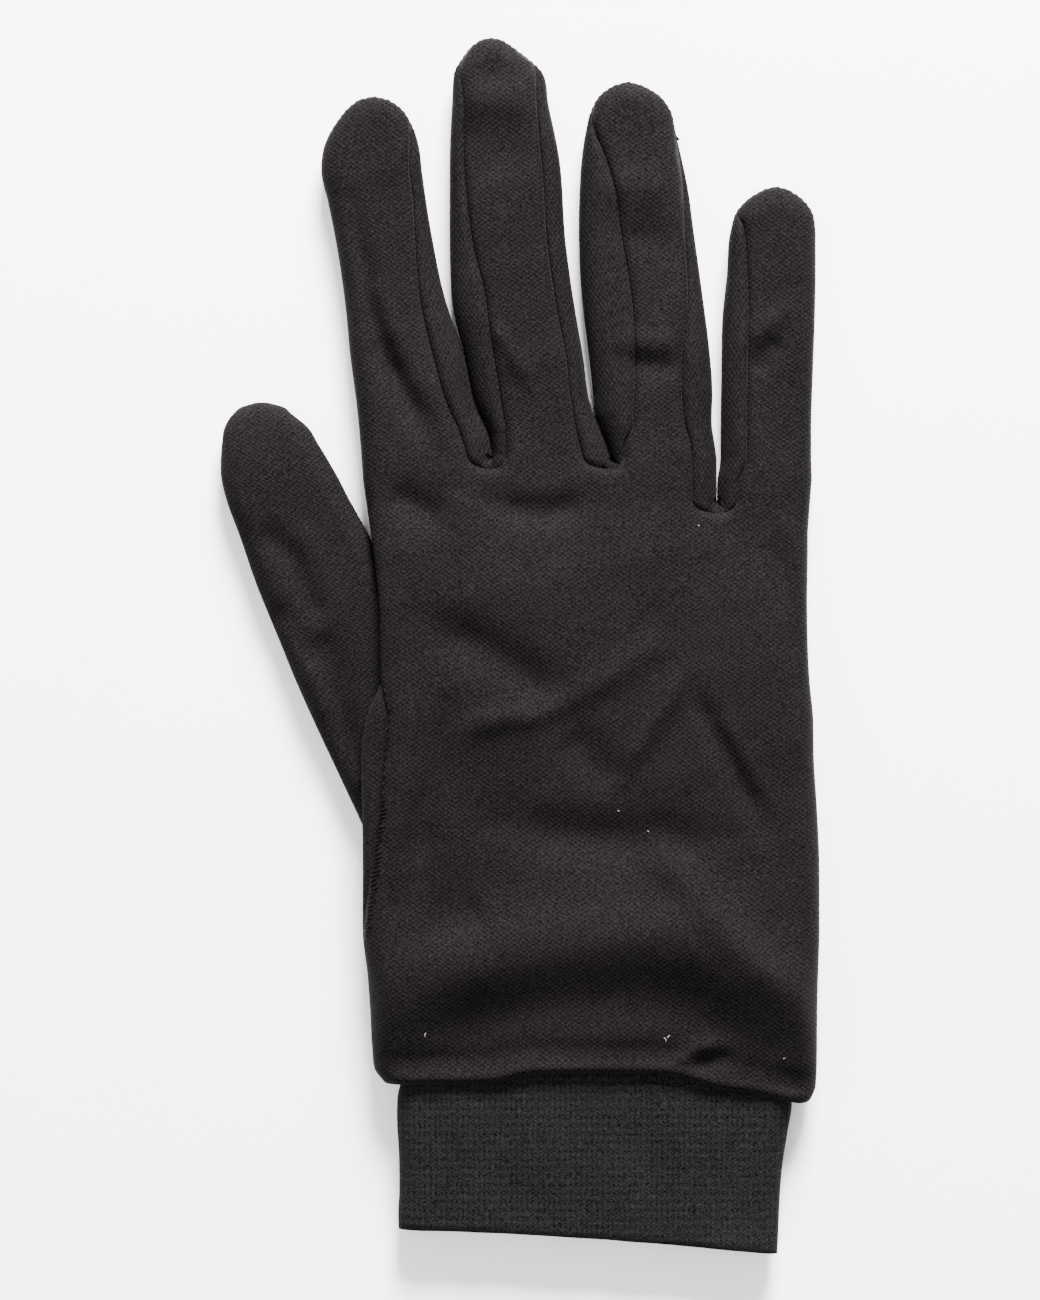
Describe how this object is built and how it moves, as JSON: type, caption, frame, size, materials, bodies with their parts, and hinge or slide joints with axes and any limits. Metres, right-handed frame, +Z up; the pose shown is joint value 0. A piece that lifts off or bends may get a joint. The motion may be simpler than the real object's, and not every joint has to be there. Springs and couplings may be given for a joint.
{
  "type": "glove liner",
  "caption": "Thin knitted right-hand glove liner lying flat, with sewn-in finger strips, a separate thumb and a ribbed cuff.",
  "frame": {"origin": "on the surface that the glove lies on, under the middle of its bounding box", "axes": "+X from the thumb side to the little-finger side, +Y towards the fingertips, +Z up out of the back of the hand"},
  "size_m": [0.1228, 0.2486, 0.0178],
  "materials": {
    "jersey": "fine charcoal jersey knit, soft and matt with a slight sheen",
    "gusset": "the same charcoal jersey with its rows across the strip",
    "rib": "denser cool charcoal rib knit, matt"
  },
  "bodies": {
    "root": {"back_panel": "jersey", "palm_panel": "jersey", "index_middle_gusset": "gusset", "middle_ring_gusset": "gusset", "ring_little_gusset": "gusset", "thumb": "jersey", "rib_cuff": "rib"}
  },
  "joints": []
}
